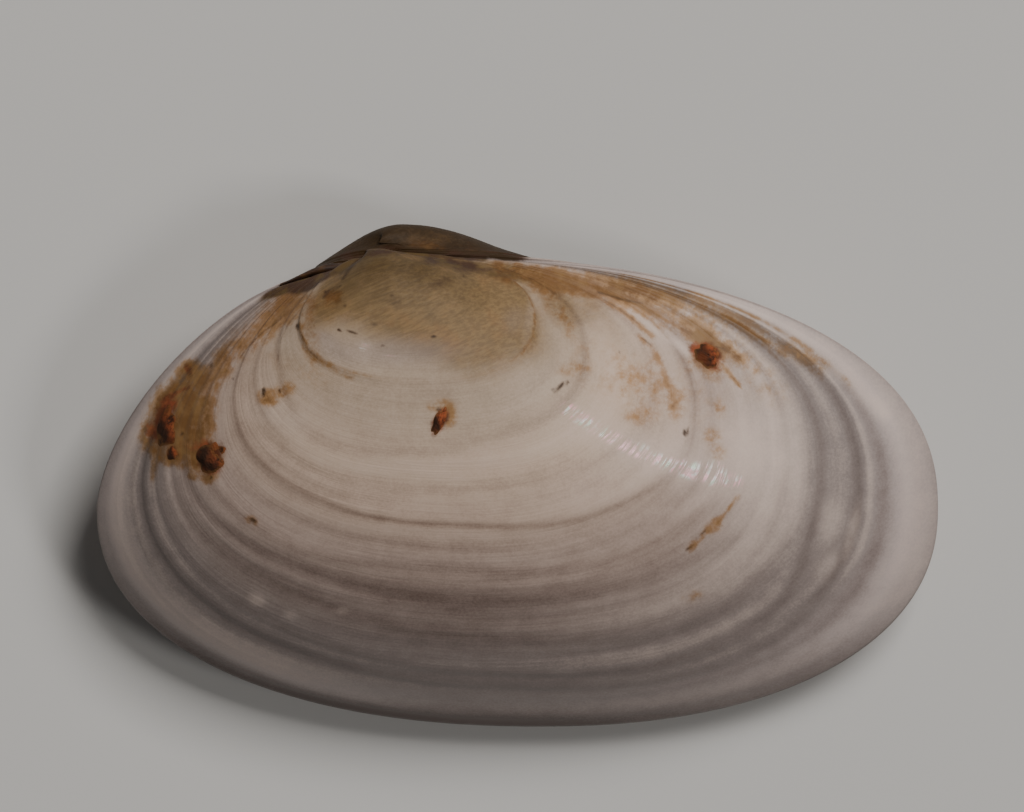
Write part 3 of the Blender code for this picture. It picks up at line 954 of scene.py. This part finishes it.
def make_crusts(look):
    """All the crusts as one piece of closed lumps, each sunk a little into the valve."""
    points, faces, lit_side, rim = [], [], [], []
    for i, sizes in enumerate(CRUSTS):
        top, under, lit_glow, thin = crust_patch(*sizes, 71 + i)
        last_tip = under.mean(axis=0) + (under - top[-1]).mean(axis=0)
        lump, sides = closed_rings(np.concatenate([top, under[None]]), last_tip, sum(map(len, points)))
        points.append(lump)
        faces += sides
        for values, found in ((lit_side, lit_glow), (rim, thin)):
            values.append(np.concatenate([found.ravel(), found[-1], (found[0, 0], found[-1, 0])]))
    values = {"lit_side": np.concatenate(lit_side), "rim": np.concatenate(rim)}
    add_piece("rust_crusts", to_frame(np.concatenate(points)), faces, values, look)


# Stage

def make_floor(colour):
    """A wide plain floor at the level that the shell lies on, a hair under it."""
    half = 0.5
    under = -0.000002
    mesh = bpy.data.meshes.new("floor")
    corners = [(x * half, y * half, under) for x, y in ((-1, -1), (1, -1), (1, 1), (-1, 1))]
    mesh.from_pydata(corners, [], [(0, 1, 2, 3)])
    made, add, surface, _ = new_material("pale_floor")
    add.fill(surface, {"Base Color": (*colour, 1), "Roughness": 0.9})
    mesh.materials.append(made)
    put("floor", mesh)


def camera_axes():
    """Right, up and towards-the-camera directions of the photograph, in the frame."""
    c = math.cos(VIEW_TILT)
    s = math.sin(VIEW_TILT)
    axes = to_frame(np.array([(1, 0, 0), (0, c, -s), (0, s, c)])) - np.array(BEAK_AT)
    return [Vector(axis) for axis in axes]


def make_camera(distance):
    """A long lens at the photograph's angle, framed so that the beaks fall on their pixel."""
    right, up, back = camera_axes()
    width = PICTURE[0] * PIXEL
    across, down = ((whole / 2 - beak) * PIXEL for whole, beak in zip(PICTURE, BEAK_PIXEL))
    data = bpy.data.cameras.new("camera")
    data.sensor_width = 36
    data.lens = 36 * distance / width
    data.clip_start = 0.01
    data.clip_end = 10
    axes = Matrix((right, up, back)).transposed().to_4x4()
    axes.translation = Vector(BEAK_AT) + right * across - up * down + back * distance
    camera = put("camera", data)
    camera.matrix_world = axes
    bpy.context.scene.camera = camera


def make_light(name, towards, distance, size, power):
    """A square soft light that shines on the shell from a direction given in the picture."""
    right, up, back = camera_axes()
    way = (right * towards[0] + up * towards[1] + back * towards[2]).normalized()
    data = bpy.data.lights.new(name, "AREA")
    data.size = size
    data.energy = power
    data.color = WARM_WHITE
    light = put(name, data)
    light.location = way * distance
    light.rotation_mode = "QUATERNION"
    light.rotation_quaternion = way.to_track_quat("Z", "Y")


def make_world(strength):
    """Even white light from all round."""
    world = bpy.data.worlds.new("studio")
    world.use_nodes = True
    background = world.node_tree.nodes["Background"]
    background.inputs["Color"].default_value = (1, 1, 1, 1)
    background.inputs["Strength"].default_value = strength
    bpy.context.scene.world = world


# Settings that a user would change

def colour(name, description, *default):
    """A colour property."""
    return bpy.props.FloatVectorProperty(
        name=name, description=description, subtype="COLOR", size=3, min=0, max=1, default=default)


class ShellColours(bpy.types.PropertyGroup):
    """Colours of the shell, its stains and its ligament."""

    cream: colour("Cream", "Warm part of the shell's ground colour", 0.59, 0.437, 0.33)
    blush: colour("Blush", "Pinkish part of the ground colour", 0.52, 0.388, 0.32)
    grey: colour("Grey", "Ground colour towards the margin", 0.262, 0.215, 0.198)
    edge: colour("Edge", "Pale band along the margin", 0.5, 0.415, 0.39)
    # White, also used for painted sheen round the glint streak and painted light at the long end
    white: colour("White", "Chalky streaks and light bands", 0.8, 0.64, 0.55)
    band: colour("Band", "Tint of the dark growth bands", 0.3, 0.245, 0.225)
    # Tan stain, darkened in part as painted shade
    tan: colour("Tan", "Umbo of the upper valve", 0.11, 0.064, 0.019)
    # Painted shade: the lower umbo's tan made dark for the shade it lies in behind the beaks
    far_tan: colour("Far tan", "Umbo of the lower valve", 0.047, 0.025, 0.008)
    pale_tan: colour("Pale tan", "Umbo of the upper valve towards its edge", 0.262, 0.167, 0.072)
    warm: colour("Warm", "Ground colour just outside the umbo", 0.435, 0.33, 0.235)
    olive: colour("Olive", "Greenish mottle of the umbo", 0.124, 0.078, 0.03)
    lilac: colour("Lilac", "Greyish lilac patches of the young shell", 0.29, 0.225, 0.2)
    ochre: colour("Ochre", "Yellow-brown iron stain", 0.2, 0.095, 0.03)
    ochre_light: colour("Light ochre", "Thin parts of the iron stain", 0.272, 0.148, 0.054)
    wash: colour("Wash", "Tint where the iron stain only washes the shell", 0.7, 0.5, 0.27)
    rust: colour("Rust", "Red-brown rust", 0.112, 0.03, 0.01)
    rust_dark: colour("Dark rust", "Near-black parts of the rust", 0.04, 0.016, 0.008)
    # Orange rust grains, on the crusts placed on their lit side as painted light
    orange: colour("Orange", "Bright grains of the rust", 0.33, 0.078, 0.027)
    # Dark specks, also used for painted shade under the umbo's edge and painted shadow between the beaks
    dirt: colour("Dirt", "Dark specks and cracks", 0.055, 0.027, 0.011)
    # Horn of the ligament, also used for painted shade in the crease at the hinge
    horn: colour("Horn", "Ligament and the stain round it", 0.062, 0.028, 0.014)
    horn_dark: colour("Dark horn", "Fibres of the ligament", 0.026, 0.012, 0.007)
    # Colours of the painted highlight streak
    green_glint: colour("Green glint", "Greenish part of the pearly streak", 0.6, 0.8, 0.6)
    white_glint: colour("White glint", "White part of the pearly streak", 0.95, 0.93, 0.9)
    pink_glint: colour("Pink glint", "Pink part of the pearly streak", 1, 0.5, 0.55)


class StudioSettings(bpy.types.PropertyGroup):
    """Light, floor and camera of the stage."""

    key_power: bpy.props.FloatProperty(
        name="Key power", description="Power of the main soft light", default=0.31, min=0, unit="POWER")
    side_power: bpy.props.FloatProperty(
        name="Side power", description="Power of the smaller light at the long end", default=0.075, min=0,
        unit="POWER")
    world_strength: bpy.props.FloatProperty(
        name="World strength", description="Even light from all round", default=0.065, min=0)
    floor: colour("Floor", "Colour of the floor", 0.63, 0.62, 0.6)
    camera_distance: bpy.props.FloatProperty(
        name="Camera distance", description="From the shell to the camera", default=0.25, min=0.05,
        unit="LENGTH")


def colours_of(context):
    """The shell's colours by name, each with an alpha of 1."""
    chosen = context.scene.clam_colours
    return {name: (*getattr(chosen, name), 1) for name in ShellColours.__annotations__}


class CLAM_OT_upper_valve(bpy.types.Operator):
    """Builds the upper valve with its growth bands, stains and painted highlight streak"""

    bl_idname = "clam.upper_valve"
    bl_label = "Upper valve"

    def execute(self, context):
        colours = colours_of(context)
        look = shell_material("upper_valve_shell", colours, colours["tan"], True)
        make_valve(1, "upper_valve_skin", look, "upper_valve")
        return {"FINISHED"}


class CLAM_OT_lower_valve(bpy.types.Operator):
    """Builds the lower valve with its growth bands and its small flat"""

    bl_idname = "clam.lower_valve"
    bl_label = "Lower valve"

    def execute(self, context):
        colours = colours_of(context)
        look = shell_material("lower_valve_shell", colours, colours["far_tan"], False)
        make_valve(-1, "lower_valve_skin", look, "lower_valve")
        return {"FINISHED"}


class CLAM_OT_ligament(bpy.types.Operator):
    """Builds the brown ligament in the notch beside the beaks"""

    bl_idname = "clam.ligament"
    bl_label = "Ligament"

    def execute(self, context):
        make_ligament(ligament_material(colours_of(context)))
        return {"FINISHED"}


class CLAM_OT_rust(bpy.types.Operator):
    """Builds the raised crusts of rust on the upper valve"""

    bl_idname = "clam.rust"
    bl_label = "Rust crusts"

    def execute(self, context):
        make_crusts(rust_material(colours_of(context)))
        return {"FINISHED"}


class CLAM_OT_stage(bpy.types.Operator):
    """Builds the floor, the lights and the camera"""

    bl_idname = "clam.stage"
    bl_label = "Stage"

    def execute(self, context):
        studio = context.scene.clam_studio
        make_floor(tuple(studio.floor))
        make_camera(studio.camera_distance)
        make_light("key", (0.3, 0.38, 0.875), 0.2, 0.075, studio.key_power)
        make_light("side", (0.59, -0.25, 0.76), 0.2, 0.04, studio.side_power)
        make_world(studio.world_strength)
        return {"FINISHED"}


class CLAM_PT_panel(bpy.types.Panel):
    """Lists the pieces of the clam shell, its colours and its stage"""

    bl_idname = "CLAM_PT_panel"
    bl_label = "Clam shell"
    bl_space_type = "VIEW_3D"
    bl_region_type = "UI"
    bl_category = "Clam"

    def draw(self, context):
        layout = self.layout
        for operator in OPERATORS:
            layout.operator(operator.bl_idname)
        for settings in (context.scene.clam_colours, context.scene.clam_studio):
            for name in type(settings).__annotations__:
                layout.prop(settings, name)


OPERATORS = (CLAM_OT_upper_valve, CLAM_OT_lower_valve, CLAM_OT_ligament, CLAM_OT_rust, CLAM_OT_stage)
CLASSES = (ShellColours, StudioSettings, *OPERATORS, CLAM_PT_panel)


def register():
    for each in CLASSES:
        bpy.utils.register_class(each)
    bpy.types.Scene.clam_colours = bpy.props.PointerProperty(type=ShellColours)
    bpy.types.Scene.clam_studio = bpy.props.PointerProperty(type=StudioSettings)


def unregister():
    del bpy.types.Scene.clam_studio
    del bpy.types.Scene.clam_colours
    for each in reversed(CLASSES):
        bpy.utils.unregister_class(each)


def main():
    for obj in list(bpy.data.objects):
        if obj.type in ("LIGHT", "CAMERA") or obj.name == "Cube":
            bpy.data.objects.remove(obj)
    register()
    bpy.ops.clam.upper_valve()
    bpy.ops.clam.lower_valve()
    bpy.ops.clam.ligament()
    bpy.ops.clam.rust()
    bpy.ops.clam.stage()


if __name__ == "__main__":
    main()
